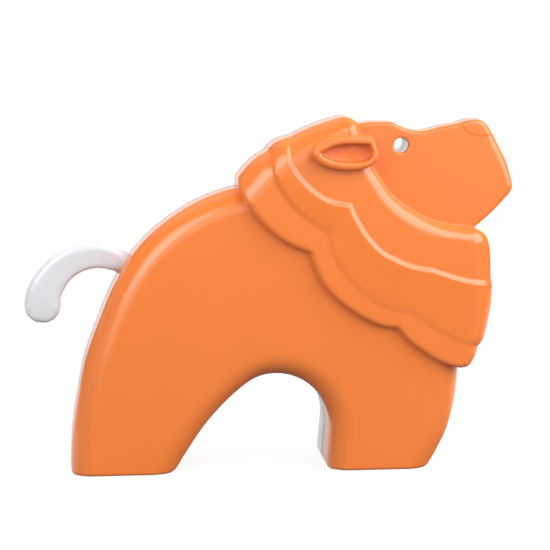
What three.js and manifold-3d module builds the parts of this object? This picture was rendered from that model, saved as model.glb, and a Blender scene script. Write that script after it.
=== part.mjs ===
// Lion baby rattle: two moulded half shells closed on a tail stem and a handful of loose beads.
// Millimetres, +Z up, nose towards +X, parting plane at Y = 0, soles on Z = 0.
import * as THREE from 'three';
import { mergeVertices } from 'three/addons/utils/BufferGeometryUtils.js';
import Module from 'manifold-3d';

// Shell halves
const WALL = 2.2;              // moulded wall
const SEAM_GAP = 0.3;          // parting gap between the halves
const FACE_LEAN_DEG = 3.9;     // side faces lean inwards towards the top
const BODY_HALF = 16.4;        // half thickness of the body at the soles
const BODY_EDGE = 5.8;         // edge round of the body
const MANE_RISE = 2.2;         // outer mane tier above the body face
const BAND_RISE = 0.65;        // middle mane band above the outer tier
const FACE_DROP = 4.5;         // face below the body face
const NOSE_RISE = 0.4;         // nose pad above the face
const EAR_RISE = 2.6;          // ear rim above the mane
const EAR_SINK = 0.3;          // ear hollow below the mane
const EAR_EDGE = 0.9;          // edge round of the ear rim
const BAND_EDGE = 0.65;        // edge round of the middle mane band
const NOSE_EDGE = 0.3;         // edge round of the nose pad
const HEAD_EDGE = 1.6;         // edge round of the face
const SCALLOP_EDGE = 2.0;      // edge round of the mane's scallops

// Eye: a hole through both halves, lined by an eyelet on the far half
const EYE = { x: 32.55, z: 84.35 };
const EYE_BORE = 3.76;
const EYE_SKIN = 1.1;          // near half's skin over the eyelet
const EYELET_DIAMETER = 5.6;
const EYELET_CLEARANCE = 0.3;
const EYE_TUBE_WALL = 1.5;     // tube round the eyelet
const BROW = 3.75;             // brow's lowest point above the eye

// Feet
const HIND_FOOT_BACK = -54.5;  // hind foot, rear side at the ground
const HIND_FOOT_FRONT = -27.2; // hind foot, front side at the ground
const HIND_FRONT_SLOPE = 0.58; // sideways run per unit of height
const FORE_FOOT_BACK = 12.4;   // front foot, rear side at the ground
const FORE_BACK_SLOPE = 0.1;
const FORE_FOOT_FRONT = 39.5;  // front foot, front side at the ground
const FORE_FRONT_SLOPE = 0.577;
const LEG_STRAIGHT = 4;        // height up to which the legs have straight sides
const HEEL_ROUND = 1.1;        // corner rounds of the soles
const TOE_ROUND = 1.6;

// Locating pins and their bosses
const PIN_DIAMETER = 3.0;
const PIN_LENGTH = 3.2;
const PIN_CLEARANCE = 0.3;
const BOSS_WALL = 1.6;

// Rattle chamber and beads
const BEAD_DIAMETER = 6.0;
const BEAD_GAP = 0.4;          // free play round a bead in its lane
const BEADS_ALONG = 4;
const BEAD_PITCH = 8.0;
const CHAMBER_X = -9.0;        // middle of the chamber
const CHAMBER_FLOOR = 35.0;
const CHAMBER_HEIGHT = 24.0;
const CHAMBER_RIB = 1.6;

// Tail
const TAIL_ROOT_X = -40.4;     // where the stem leaves the back
const TAIL_ROOT_Z = 53.7;
const TAIL_PITCH_DEG = 27;     // stem rises outwards at this angle
const STEM_DIAMETER = 5.9;
const STEM_INSIDE = 11.0;      // stem length inside the shell
const STEM_OUTSIDE = 0.5;      // straight stem length outside the shell
const TAIL_TIP_RADIUS = 4.75;
const TAIL_HOOK = [            // x, z and radius along the hook
  [-45.6, 55.5, 3.1], [-49.8, 55.5, 3.37], [-53.6, 54.3, 3.68], [-56.9, 52, 3.95],
  [-59.4, 48.9, 4.3], [-60.9, 45.9, 4.58], [-61.3, 42.8, TAIL_TIP_RADIUS],
];
const TAIL_CLEARANCE = 0.3;
const KEY_SIDE = 9.0;          // square key on the stem
const KEY_LENGTH = 2.6;
const KEY_INSET = 6.0;         // from the root to the outer face of the key
const CRADLE_WALL = 1.8;       // material round the key pocket

// Facets
const RUN_STEP = 3.2;          // spacing of outline points
const DETAIL_STEP = 1.6;       // spacing of outline points on the ear and nose
const EDGE_STEPS = 3;          // facets across an edge round
const HOLLOW_STEPS = 1;        // facets across an edge inside the shell
const ROUND_STEPS = 20;        // facets round a bore or stem
const PIN_STEPS = 12;          // facets round a pin or boss

const wasm = await Module();
wasm.setup();

const lean = Math.tan(THREE.MathUtils.degToRad(FACE_LEAN_DEG));
const below = BODY_EDGE + 3;   // the legs run this far past the ground before the soles are cut
const big = 400;

function solid(geometry) {
  const plain = geometry.index ? geometry.toNonIndexed() : geometry;
  plain.deleteAttribute('normal');
  plain.deleteAttribute('uv');
  const merged = mergeVertices(plain, 1e-4);
  return new wasm.Manifold(new wasm.Mesh({
    numProp: 3,
    vertProperties: new Float32Array(merged.attributes.position.array),
    triVerts: new Uint32Array(merged.index.array),
  }));
}

function geometryOf(body) {
  const mesh = body.getMesh();
  const geometry = new THREE.BufferGeometry();
  geometry.setAttribute('position', new THREE.BufferAttribute(new Float32Array(mesh.vertProperties), 3));
  geometry.setIndex(new THREE.BufferAttribute(new Uint32Array(mesh.triVerts), 1));
  return geometry;
}

// The same body on the other side of the parting plane.
function mirrored(body) {
  const geometry = geometryOf(body);
  geometry.scale(1, -1, 1);
  const index = geometry.index.array;
  for (let i = 0; i < index.length; i += 3) {
    const swap = index[i + 1];
    index[i + 1] = index[i + 2];
    index[i + 2] = swap;
  }
  return solid(geometry);
}

// A smooth run through a few [x, z, edge round] points, straight when there are two;
// its last point belongs to the next run.
function run(points, spacing = RUN_STEP) {
  if (points.length === 2) {
    return [new THREE.Vector3(...points[0])];
  }
  const curve = new THREE.CatmullRomCurve3(points.map((p) => new THREE.Vector3(...p)), false, 'centripetal');
  const steps = Math.max(1, Math.round(curve.getLength() / spacing));
  return curve.getSpacedPoints(steps).slice(0, -1);
}

// Outward normals of an outline, long enough at corners to keep both edges parallel.
function cornerNormals(outline) {
  const count = outline.length;
  return outline.map((p, i) => {
    const a = outline[(i + count - 1) % count];
    const b = outline[(i + 1) % count];
    const e1 = new THREE.Vector2(p.y - a.y, a.x - p.x).normalize();
    const e2 = new THREE.Vector2(b.y - p.y, p.x - b.x).normalize();
    const mid = e1.clone().add(e2).normalize();
    return mid.divideScalar(Math.max(0.5, mid.dot(e1)));
  });
}

// Distance from a point to the nearest side of an outline.
function sideDistance(outline, x, y) {
  let best = Infinity;
  outline.forEach((p, i) => {
    const q = outline[(i + 1) % outline.length];
    const sx = q.x - p.x;
    const sy = q.y - p.y;
    const t = THREE.MathUtils.clamp(((x - p.x) * sx + (y - p.y) * sy) / (sx * sx + sy * sy), 0, 1);
    best = Math.min(best, Math.hypot(x - p.x - t * sx, y - p.y - t * sy));
  });
  return best;
}

// Moulded plate: the outline goes up to `height` from the parting plane, its upper edge rounded,
// and the whole plate leans with the side face. `inset` draws every surface inwards, and corners
// tighter than the inset fall away.
function plate(fullOutline, height, inset = 0) {
  const edgeOf = (p) => Math.max(p.z - inset, 0.4);
  const fullNormals = cornerNormals(fullOutline);
  const kept = fullOutline.map((p, i) => i).filter((i) => {
    const p = fullOutline[i];
    const off = inset + edgeOf(p);
    const n = fullNormals[i];
    return inset <= 0 || sideDistance(fullOutline, p.x - n.x * off, p.y - n.y * off) > 0.985 * off;
  });
  const outline = kept.map((i) => fullOutline[i]);
  const normals = kept.map((i) => fullNormals[i]);
  const count = outline.length;
  const rings = [];
  const ring = (depthOf, offsetOf) => rings.push(outline.map((p, i) => {
    const edge = edgeOf(p);
    const off = inset + offsetOf(edge);
    return new THREE.Vector3(p.x - normals[i].x * off, p.y - normals[i].y * off, depthOf(edge));
  }));
  const top = height - inset;
  ring(() => -1, () => 0);
  const steps = inset > 0 ? HOLLOW_STEPS : EDGE_STEPS;
  for (let k = 0; k <= steps; k += 1) {
    const turn = (k / steps) * Math.PI / 2;
    ring((edge) => top - edge + edge * Math.sin(turn), (edge) => edge * (1 - Math.cos(turn)));
  }
  const positions = [];
  const put = (p) => positions.push(p.x, lean * p.y - p.z, p.y);
  for (let k = 0; k + 1 < rings.length; k += 1) {
    for (let i = 0; i < count; i += 1) {
      const j = (i + 1) % count;
      [rings[k][i], rings[k][j], rings[k + 1][j]].forEach(put);
      [rings[k][i], rings[k + 1][j], rings[k + 1][i]].forEach(put);
    }
  }
  const flat = (r) => r.map((p) => new THREE.Vector2(p.x, p.y));
  const last = rings[rings.length - 1];
  for (const [a, b, c] of THREE.ShapeUtils.triangulateShape(flat(last), [])) {
    [last[a], last[b], last[c]].forEach(put);
  }
  for (const [a, b, c] of THREE.ShapeUtils.triangulateShape(flat(rings[0]), [])) {
    [rings[0][a], rings[0][c], rings[0][b]].forEach(put);
  }
  const geometry = new THREE.BufferGeometry();
  geometry.setAttribute('position', new THREE.BufferAttribute(new Float32Array(positions), 3));
  return solid(geometry);
}

function block(x0, x1, y0, y1, z0, z1) {
  const geometry = new THREE.BoxGeometry(x1 - x0, y1 - y0, z1 - z0);
  geometry.translate((x0 + x1) / 2, (y0 + y1) / 2, (z0 + z1) / 2);
  return solid(geometry);
}

// Round bar along Y.
function bar(x, z, diameter, y0, y1, steps = PIN_STEPS) {
  const geometry = new THREE.CylinderGeometry(diameter / 2, diameter / 2, y1 - y0, steps);
  geometry.translate(x, (y0 + y1) / 2, z);
  return solid(geometry);
}

// Prism of a 2-D shape in the X-Z plane, through all of the thickness.
function prism(shape, steps = 8) {
  const geometry = new THREE.ExtrudeGeometry(shape, { depth: big, bevelEnabled: false, curveSegments: steps });
  geometry.translate(0, 0, -big / 2);
  geometry.rotateX(Math.PI / 2);
  return solid(geometry);
}

// Outlines, each counter-clockwise seen from the near side
const hindFrontX = (z) => HIND_FOOT_FRONT + HIND_FRONT_SLOPE * z;
const foreBackX = (z) => FORE_FOOT_BACK + FORE_BACK_SLOPE * z;
const foreFrontX = (z) => FORE_FOOT_FRONT + FORE_FRONT_SLOPE * z;

const edged = (edge, points) => points.map(([x, z]) => [x, z, edge]);

const bodyOutline = [
  [[HIND_FOOT_BACK, -below], [hindFrontX(-below), -below]],
  [[hindFrontX(-below), -below], [hindFrontX(LEG_STRAIGHT), LEG_STRAIGHT]],
  [
    [hindFrontX(LEG_STRAIGHT), LEG_STRAIGHT], [-19, 12.4], [-11.4, 20.2], [-5.7, 24.1], [-0.4, 25],
    [4.6, 23.9], [9.1, 20.9], [12, 16.6], [13.2, 12], [foreBackX(LEG_STRAIGHT), LEG_STRAIGHT],
  ],
  [[foreBackX(LEG_STRAIGHT), LEG_STRAIGHT], [foreBackX(-below), -below]],
  [[foreBackX(-below), -below], [foreFrontX(-below), -below]],
  [[foreFrontX(-below), -below], [foreFrontX(LEG_STRAIGHT), LEG_STRAIGHT]],
  [
    [foreFrontX(LEG_STRAIGHT), LEG_STRAIGHT], [44.3, 8.9], [46.2, 15.4], [47.3, 22.3],
    [47.6, 32], [44, 50], [30, 63], [10, 72],
    [-7, 74], [-14.4, 72.8], [-24.8, 68.1], [-35.3, 59.8], [-42.2, 50], [-46.8, 39.7], [-50.5, 29.4],
    [-52.7, 19], [-54.1, 9.5], [HIND_FOOT_BACK, 3],
  ],
  [[HIND_FOOT_BACK, 3], [HIND_FOOT_BACK, -below]],
].flatMap((points) => run(edged(BODY_EDGE, points)));

// Mane: front edge, edge over the face, top edge in three steps, then three scallops on the body.
const maneOutline = [
  ...run([[47, 26.7, 1.8], [49.5, 27.1, 2.4], [51.5, 29.8, 3.4], [52.3, 32.1, 4]], DETAIL_STEP),
  ...run([[52.3, 32.1, 4], [53.5, 33.5, 4.4], [54.4, 35.9, 4.8], [55.8, 42.5, 5], [56.1, 47.5, 5]]),
  ...run([
    [56.1, 47.5, 5], [55.9, 49.6, 5], [55.8, 53.7, 5], [55.3, 58.7, 4.5], [53.9, 61.5, 3.6], [51.2, 63.1, 3.2],
  ]),
  ...run([
    [51.2, 63.1, 3.2], [47, 63.4, 3.2], [42.5, 64.2, 3.2], [38.6, 65.6, 3.3], [33.3, 68.7, 3.4],
    [29.7, 71.9, 3.4], [27, 75.7, 3.4], [24.8, 79.1, 3.4], [23.3, 82.9, 3.4], [21.9, 86.8, 3.2],
    [20.8, 89.9, 3],
  ]),
  ...run([
    [20.8, 89.9, 3], [20, 91, 3.2], [18.7, 91.8, 3.6], [17.2, 92.1, 4.2], [12.4, 90.8, 5.6], [8.3, 89.3, 6.3],
    [3.5, 87.1, 6.5],
  ]),
  ...run([[3.5, 87.1, 6.5], [1, 86.4, 6.5], [-0.6, 85.7, 6.5], [-2.2, 84.3, 6.5]]),
  ...run([
    [-2.2, 84.3, 6.5], [-2.8, 83.4, 6.5], [-5.8, 81.5, 6.2], [-8.6, 78.8, 5.4], [-10.4, 76.6, 4.2],
    [-10.5, 74.2, 3],
  ]),
  ...run([
    [-10.5, 74.2, 3], [-9.6, 71.9, 2.2],
    ...edged(SCALLOP_EDGE, [[-6.7, 67.5], [-2.5, 62.9], [2.3, 59.5], [7.7, 57.2]]),
  ]),
  ...run(edged(SCALLOP_EDGE, [
    [7.7, 57.2], [8.7, 54.2], [11.3, 48.7], [16.3, 43.7], [22.5, 39.6], [26.6, 37.9], [30.4, 37.4],
  ])),
  ...run([
    ...edged(SCALLOP_EDGE, [[30.4, 37.4], [33.3, 34.1], [37.5, 30.9], [42.5, 28]]), [47, 26.7, 1.8],
  ]),
];

// Middle mane band, raised again: three scallops on each edge, run out past the mane at both ends.
const bandOutline = [
  [[62, 29], [64, 49]],
  [[64, 49], [56.4, 49], [51.8, 49.2], [46.7, 50.2], [39.5, 52.6]],
  [[39.5, 52.6], [34.1, 53.6], [29.1, 55.8], [26.5, 57.3], [22.9, 60.9], [20, 65.4], [18, 69.6]],
  [
    [18, 69.6], [14.1, 70.3], [11, 71.6], [8.1, 73.7], [5.1, 76.8], [2.8, 80.5], [2.2, 83.4], [3, 87], [4, 96],
  ],
  [[4, 96], [-1, 96]],
  [[-1, 96], [-1.6, 84.9], [-1.4, 77.6], [0.9, 73], [5, 68.1], [9.2, 65], [12.7, 62.4]],
  [[12.7, 62.4], [13.5, 58.2], [15.6, 53.8], [19.7, 48.9], [24.9, 44.6], [29.9, 42.5], [34.1, 41.9]],
  [[34.1, 41.9], [37.2, 39.8], [41.2, 37], [46.7, 34.3], [52.8, 32], [62, 29]],
].flatMap((points) => run(edged(BAND_EDGE, points)));

const brow = EYE.z + BROW;
const headOutline = [
  ...run([...edged(HEAD_EDGE, [[36, 58], [48, 60], [52.7, 63.2], [56.7, 66.6]]), [61.5, 71.5, 1.8]]),
  ...run([
    [61.5, 71.5, 1.8], [62.3, 73.2, 2], [61.9, 75.6, 2.4], [60.6, 79.9, 2.6], [58.1, 85, 2.6],
    [57.1, 86.9, 2.4], [56.1, 88.6, 2.2],
  ]),
  ...run([
    [56.1, 88.6, 2.2], [55, 90, 1.8], [53.4, 90.9, 1.7],
    ...edged(HEAD_EDGE, [[51.2, 90.9], [49.2, 90.5], [47.6, 90], [43.6, brow + 1.2]]),
  ], DETAIL_STEP),
  ...run(edged(HEAD_EDGE, [
    [43.6, brow + 1.2], [38.4, brow], [34.9, brow + 0.3], [31.9, brow + 1.5], [30.2, brow + 2.3],
    [27.2, brow + 2.4], [22.1, brow + 2.1], [18, brow + 0.5],
  ])),
  ...run(edged(HEAD_EDGE, [[18, brow + 0.5], [20, 74], [36, 58]])),
];

// Lower edge of the nose pad, closed well outside the head.
const noseOutline = [
  [[46.6, 96], [48.4, 90.4]],
  [[48.4, 90.4], [48.9, 89.1], [50.3, 87.7], [52.9, 86.7], [55.3, 86.9], [57.5, 86.7]],
  [[57.5, 86.7], [66, 86]],
  [[66, 86], [66, 96]],
  [[66, 96], [46.6, 96]],
].flatMap((points) => run(edged(NOSE_EDGE, points), DETAIL_STEP));

const earOutline = [
  [
    [7.8, 83.2], [8.2, 82], [9.3, 80.9], [11.3, 79.7], [14.2, 78.8], [17, 78.5], [20.2, 78.7], [23.2, 79.5],
    [25.3, 80.5],
  ],
  [[25.3, 80.5], [25.8, 81.3], [25.8, 82.3], [25.2, 84.6], [24.3, 87.2]],
  [
    [24.3, 87.2], [23.4, 87.5], [20.2, 87.6], [16.2, 87.5], [12.9, 87.3], [11.3, 86.7], [9.3, 85.6],
    [8.5, 84.8], [7.8, 83.2],
  ],
].flatMap((points) => run(edged(EAR_EDGE, points), DETAIL_STEP));

const earHollow = [
  [[10.5, 83.2], [10.9, 82.6], [13.3, 81.4], [16.3, 80.9], [19.3, 80.8], [22.2, 81.2], [23.2, 81.9]],
  [[23.2, 81.9], [23.5, 83.1], [23.3, 84.2], [22.9, 85.2]],
  [[22.9, 85.2], [20.3, 85.4], [17.5, 85.4], [14.9, 85.2], [12.3, 84.2], [10.5, 83.2]],
].flatMap((points) => run(edged(EAR_EDGE, points), DETAIL_STEP));

const BOSSES = [[-41, 14], [27, 13], [-35, 33], [24, 53], [47, 79]];

// Soles: flat at the ground with rounded corners; above them the profile is wider than the body.
function groundProfile() {
  const top = 12;
  const spread = 3;
  const shape = new THREE.Shape();
  shape.moveTo(-big, top);
  shape.lineTo(HIND_FOOT_BACK - spread, top);
  shape.lineTo(HIND_FOOT_BACK, HEEL_ROUND);
  shape.quadraticCurveTo(HIND_FOOT_BACK, 0, HIND_FOOT_BACK + HEEL_ROUND, 0);
  shape.lineTo(HIND_FOOT_FRONT - TOE_ROUND, 0);
  shape.quadraticCurveTo(HIND_FOOT_FRONT, 0, hindFrontX(TOE_ROUND * 0.8), TOE_ROUND * 0.8);
  shape.lineTo(hindFrontX(top) + spread, top);
  shape.lineTo(foreBackX(top) - spread, top);
  shape.lineTo(foreBackX(HEEL_ROUND), HEEL_ROUND);
  shape.quadraticCurveTo(FORE_FOOT_BACK, 0, FORE_FOOT_BACK + HEEL_ROUND, 0);
  shape.lineTo(FORE_FOOT_FRONT - TOE_ROUND, 0);
  shape.quadraticCurveTo(FORE_FOOT_FRONT, 0, foreFrontX(TOE_ROUND * 0.8), TOE_ROUND * 0.8);
  shape.lineTo(foreFrontX(top) + spread, top);
  shape.lineTo(big, top);
  shape.lineTo(big, big);
  shape.lineTo(-big, big);
  return prism(shape);
}

// Tail stem axis, pointing into the shell
const stemDir = new THREE.Vector2(
  Math.cos(THREE.MathUtils.degToRad(TAIL_PITCH_DEG)),
  -Math.sin(THREE.MathUtils.degToRad(TAIL_PITCH_DEG)),
);
const stemPoint = (s) => new THREE.Vector2(TAIL_ROOT_X + stemDir.x * s, TAIL_ROOT_Z + stemDir.y * s);

function alongStem(geometry, s) {
  const p = stemPoint(s);
  geometry.rotateY(THREE.MathUtils.degToRad(TAIL_PITCH_DEG));
  geometry.translate(p.x, 0, p.y);
  return solid(geometry);
}

function stemBar(radius, s0, s1) {
  const geometry = new THREE.CylinderGeometry(radius, radius, s1 - s0, ROUND_STEPS);
  geometry.rotateZ(Math.PI / 2);
  return alongStem(geometry, (s0 + s1) / 2);
}

const stemBlock = (length, side, s) => alongStem(new THREE.BoxGeometry(length, side, side), s);

const keyMiddle = KEY_INSET + KEY_LENGTH / 2;
const stemEnd = Math.max(STEM_INSIDE, KEY_INSET + KEY_LENGTH);
const pocketLength = KEY_LENGTH + 2 * TAIL_CLEARANCE;
const pocketSide = KEY_SIDE + 2 * TAIL_CLEARANCE;
const cradleSide = pocketSide + 2 * CRADLE_WALL;
const cradleLength = keyMiddle + pocketLength / 2 + CRADLE_WALL;   // from the back wall to behind the key

// Rattle chamber
const chamberLength = BEADS_ALONG * BEAD_PITCH;
const chamberLeft = CHAMBER_X - chamberLength / 2;
const chamberRight = CHAMBER_X + chamberLength / 2;
const chamberTop = CHAMBER_FLOOR + CHAMBER_HEIGHT;
const chamberFrame = block(chamberLeft - CHAMBER_RIB, chamberRight + CHAMBER_RIB, -big, big,
  CHAMBER_FLOOR - CHAMBER_RIB, chamberTop + CHAMBER_RIB)
  .subtract(block(chamberLeft, chamberRight, -big, big, CHAMBER_FLOOR, chamberTop));

const nearSide = block(-big, big, -big, -SEAM_GAP / 2, -big, big);

// One half, without its pins or sockets
const maneHalf = BODY_HALF + MANE_RISE;
const bandHalf = maneHalf + BAND_RISE;
const faceHalf = BODY_HALF - FACE_DROP;
const outside = plate(bodyOutline, BODY_HALF)
  .add(plate(maneOutline, maneHalf))
  .add(plate(bandOutline, bandHalf).intersect(plate(maneOutline, bandHalf)))
  .add(plate(headOutline, faceHalf))
  .add(plate(noseOutline, faceHalf + NOSE_RISE).intersect(plate(headOutline, faceHalf, -NOSE_RISE)))
  .add(plate(earOutline, maneHalf + EAR_RISE))
  .subtract(plate(earHollow, 2 * BODY_HALF).subtract(plate(earOutline, maneHalf - EAR_SINK)))
  .intersect(groundProfile())
  .intersect(nearSide);

const eyeletBore = EYELET_DIAMETER + 2 * EYELET_CLEARANCE;
const eyeFace = lean * EYE.z - faceHalf;   // near face of the face plate, beside the eye
const boss = PIN_DIAMETER + 2 * PIN_CLEARANCE + 2 * BOSS_WALL;
let fittings = chamberFrame
  .add(bar(EYE.x, EYE.z, eyeletBore + 2 * EYE_TUBE_WALL, -big, big, ROUND_STEPS))
  .add(stemBlock(cradleLength, cradleSide, cradleLength / 2));
for (const [x, z] of BOSSES) {
  fittings = fittings.add(bar(x, z, boss, -big, big));
}

const hollow = plate(bodyOutline, BODY_HALF, WALL)
  .add(plate(maneOutline, maneHalf, WALL))
  .add(plate(headOutline, faceHalf, WALL))
  .intersect(block(-big, big, -big, big, WALL, big))
  .subtract(fittings);

const half = outside
  .subtract(hollow)
  .subtract(bar(EYE.x, EYE.z, EYE_BORE, -big, big, ROUND_STEPS))
  .subtract(stemBar(STEM_DIAMETER / 2 + TAIL_CLEARANCE, -STEM_INSIDE, stemEnd + TAIL_CLEARANCE))
  .subtract(stemBlock(pocketLength, pocketSide, keyMiddle));

const eyelet = bar(EYE.x, EYE.z, EYELET_DIAMETER, eyeFace + EYE_SKIN + EYELET_CLEARANCE, WALL, ROUND_STEPS)
  .subtract(bar(EYE.x, EYE.z, EYE_BORE, -big, big, ROUND_STEPS));
let nearHalf = half.subtract(bar(EYE.x, EYE.z, eyeletBore, eyeFace + EYE_SKIN, big, ROUND_STEPS));
let farHalf = mirrored(half).add(eyelet);
for (const [x, z] of BOSSES) {
  nearHalf = nearHalf.add(bar(x, z, PIN_DIAMETER, -SEAM_GAP - 1, PIN_LENGTH));
  farHalf = farHalf.subtract(bar(x, z, PIN_DIAMETER + 2 * PIN_CLEARANCE, -1, PIN_LENGTH + PIN_CLEARANCE));
}

// Tail: straight keyed stem, then a hook that swells towards its round tip
function tailSolid() {
  const r = STEM_DIAMETER / 2;
  const start = stemPoint(-STEM_OUTSIDE);
  const lead = stemPoint(-STEM_OUTSIDE - 1);
  const hook = new THREE.CatmullRomCurve3([
    [start.x, start.y, r], [lead.x, lead.y, r], ...TAIL_HOOK,
  ].map((p) => new THREE.Vector3(...p)), false, 'centripetal');
  const rings = [];
  const ring = (x, z, radius, tx, tz) => rings.push(Array.from({ length: ROUND_STEPS }, (_, i) => {
    const a = (i / ROUND_STEPS) * 2 * Math.PI;
    return [x - tz * radius * Math.cos(a), radius * Math.sin(a), z + tx * radius * Math.cos(a)];
  }));
  const end = stemPoint(stemEnd);
  ring(end.x, end.y, r, -stemDir.x, -stemDir.y);
  const steps = 16;
  for (let k = 0; k <= steps; k += 1) {
    const p = hook.getPointAt(k / steps);
    const q = hook.getTangentAt(k / steps);
    const t = new THREE.Vector2(q.x, q.y).normalize();
    ring(p.x, p.y, p.z, t.x, t.y);
  }
  const tip = hook.getPointAt(1);
  const q = hook.getTangentAt(1);
  const t = new THREE.Vector2(q.x, q.y).normalize();
  for (let k = 1; k < 5; k += 1) {
    const a = (k / 5) * Math.PI / 2;
    const forward = tip.z * Math.sin(a);
    ring(tip.x + t.x * forward, tip.y + t.y * forward, tip.z * Math.cos(a), t.x, t.y);
  }
  const positions = [];
  const tri = (a, b, c) => positions.push(...a, ...b, ...c);
  for (let k = 0; k + 1 < rings.length; k += 1) {
    for (let i = 0; i < ROUND_STEPS; i += 1) {
      const j = (i + 1) % ROUND_STEPS;
      tri(rings[k][i], rings[k + 1][j], rings[k][j]);
      tri(rings[k][i], rings[k + 1][i], rings[k + 1][j]);
    }
  }
  const apex = [tip.x + t.x * tip.z, 0, tip.y + t.y * tip.z];
  const root = [end.x, 0, end.y];
  const last = rings[rings.length - 1];
  for (let i = 0; i < ROUND_STEPS; i += 1) {
    const j = (i + 1) % ROUND_STEPS;
    tri(last[i], apex, last[j]);
    tri(rings[0][i], rings[0][j], root);
  }
  const geometry = new THREE.BufferGeometry();
  geometry.setAttribute('position', new THREE.BufferAttribute(new Float32Array(positions), 3));
  return solid(geometry).add(stemBlock(KEY_LENGTH, KEY_SIDE, keyMiddle));
}

const group = new THREE.Group();
function place(name, geometry, colour, roughness) {
  const material = new THREE.MeshStandardMaterial({ color: colour, roughness, metalness: 0 });
  const mesh = new THREE.Mesh(geometry, material);
  mesh.name = name;
  group.add(mesh);
}

place('near_shell', geometryOf(nearHalf), '#ee7f3c', 0.32);
place('far_shell', geometryOf(farHalf), '#f0f0f2', 0.32);
place('tail', geometryOf(tailSolid()), '#ececef', 0.32);

const beadLane = BEAD_DIAMETER / 2 + BEAD_GAP;
let beadNumber = 0;
for (let i = 0; i < BEADS_ALONG; i += 1) {
  for (const side of [-1, 1]) {
    beadNumber += 1;
    const bead = new THREE.SphereGeometry(BEAD_DIAMETER / 2, 12, 8);
    bead.translate(chamberLeft + (i + 0.5) * BEAD_PITCH, side * beadLane,
      CHAMBER_FLOOR + BEAD_GAP + BEAD_DIAMETER / 2);
    place(`bead_${beadNumber}`, bead, '#f2c230', 0.4);
  }
}

// The origin is under the middle of the whole rattle.
const box = new THREE.Box3().setFromObject(group);
const middle = (box.min.x + box.max.x) / 2;
for (const mesh of group.children) {
  mesh.geometry.translate(-middle, 0, 0);
}

export default group;
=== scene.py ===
import math

import bmesh
import bpy
import numpy as np
from mathutils import Matrix, Vector
from mathutils.geometry import delaunay_2d_cdt, interpolate_bezier


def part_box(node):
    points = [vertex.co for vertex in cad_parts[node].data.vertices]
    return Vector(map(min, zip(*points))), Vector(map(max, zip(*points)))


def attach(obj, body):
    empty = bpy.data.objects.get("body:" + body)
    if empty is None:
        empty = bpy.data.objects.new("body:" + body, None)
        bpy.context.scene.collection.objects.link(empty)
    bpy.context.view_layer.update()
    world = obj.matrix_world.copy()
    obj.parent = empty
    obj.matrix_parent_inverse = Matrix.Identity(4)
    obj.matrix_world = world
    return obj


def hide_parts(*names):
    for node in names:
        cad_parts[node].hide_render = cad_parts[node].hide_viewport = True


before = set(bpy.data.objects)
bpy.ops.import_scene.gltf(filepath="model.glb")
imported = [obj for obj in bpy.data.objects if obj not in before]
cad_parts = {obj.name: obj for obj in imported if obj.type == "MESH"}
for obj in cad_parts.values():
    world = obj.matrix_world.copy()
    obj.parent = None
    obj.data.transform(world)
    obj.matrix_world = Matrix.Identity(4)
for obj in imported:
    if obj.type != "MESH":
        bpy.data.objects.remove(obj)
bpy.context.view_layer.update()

# Near half shell
# The orange half is one injection moulding: a flat side that leans inwards, a well rounded edge, the mane
# in raised tiers over the shoulder and a lower, flat face. The eye is a hole through it. It is welded to
# the white half along the parting line.
MM = 0.001                # the lengths of the toy are in mm
DRAWING_X = 1.9           # the outlines are drawn from a point this far in front of the part's middle
WALL = 2.2
FACE_LEAN = math.tan(math.radians(3.9))
BODY_HALF = 16.4          # depth of the body's side from the parting plane, at the soles
MANE_HALF = BODY_HALF + 2.2
BAND_HALF = MANE_HALF + 0.65
FACE_HALF = BODY_HALF - 4.5
EAR_HALF = MANE_HALF + 2.6
EAR_FLOOR = MANE_HALF - 0.3
EAR_FULLNESS = (2.5, 5)   # of the ear's rim outside and inside, where a round bead would have 2
NOSE_RISE = 0.07
NOSE_SLOPE = 0.6          # width of the nose pad's edge
BODY_EDGE = 5.8           # edge rounds
SCALLOP_EDGE = 1.2
CROWN_EDGE = 6.5
NAPE_EDGE = 7
HEAD_EDGE = 0.9
SOLE_EDGE = 0.7
EYE_EDGE = 0.4
HOLLOW_EDGE = 0.4
TIER_FILLET = 0.15        # inside corner at the foot of a raised tier
WALL_DRAFT = 0.08         # sideways run of a wall, for release from the mould
SEAM_ROUND = 0.3
SEAM_GAP = 0.08
EYE_AT = np.array((32.55, 84.35))
EYE_RADIUS = 1.88
EYE_SKIN = 1.1            # orange skin over the white eyelet
EYELET_RADIUS = 2.9
EYE_TUBE_RADIUS = 4.4
TAIL_ROOT = np.array((-40.4, 53.7))
TAIL_PITCH = math.radians(27)
STEM_WAY = np.array((math.cos(TAIL_PITCH), -math.sin(TAIL_PITCH)))   # from the root into the body
TAIL_PASSAGE_RADIUS = 3.15
TAIL_PASSAGE_LENGTH = 12
GROUND_REACH = 9.0        # the legs are drawn this far past the ground, then cut at the soles
LEG_STRAIGHT = 4          # height of the straight part of a leg
HEEL = -54.5
POINT_STEP = 0.8          # spacing of points along an outline
FINE_STEP = POINT_STEP / 2


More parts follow.
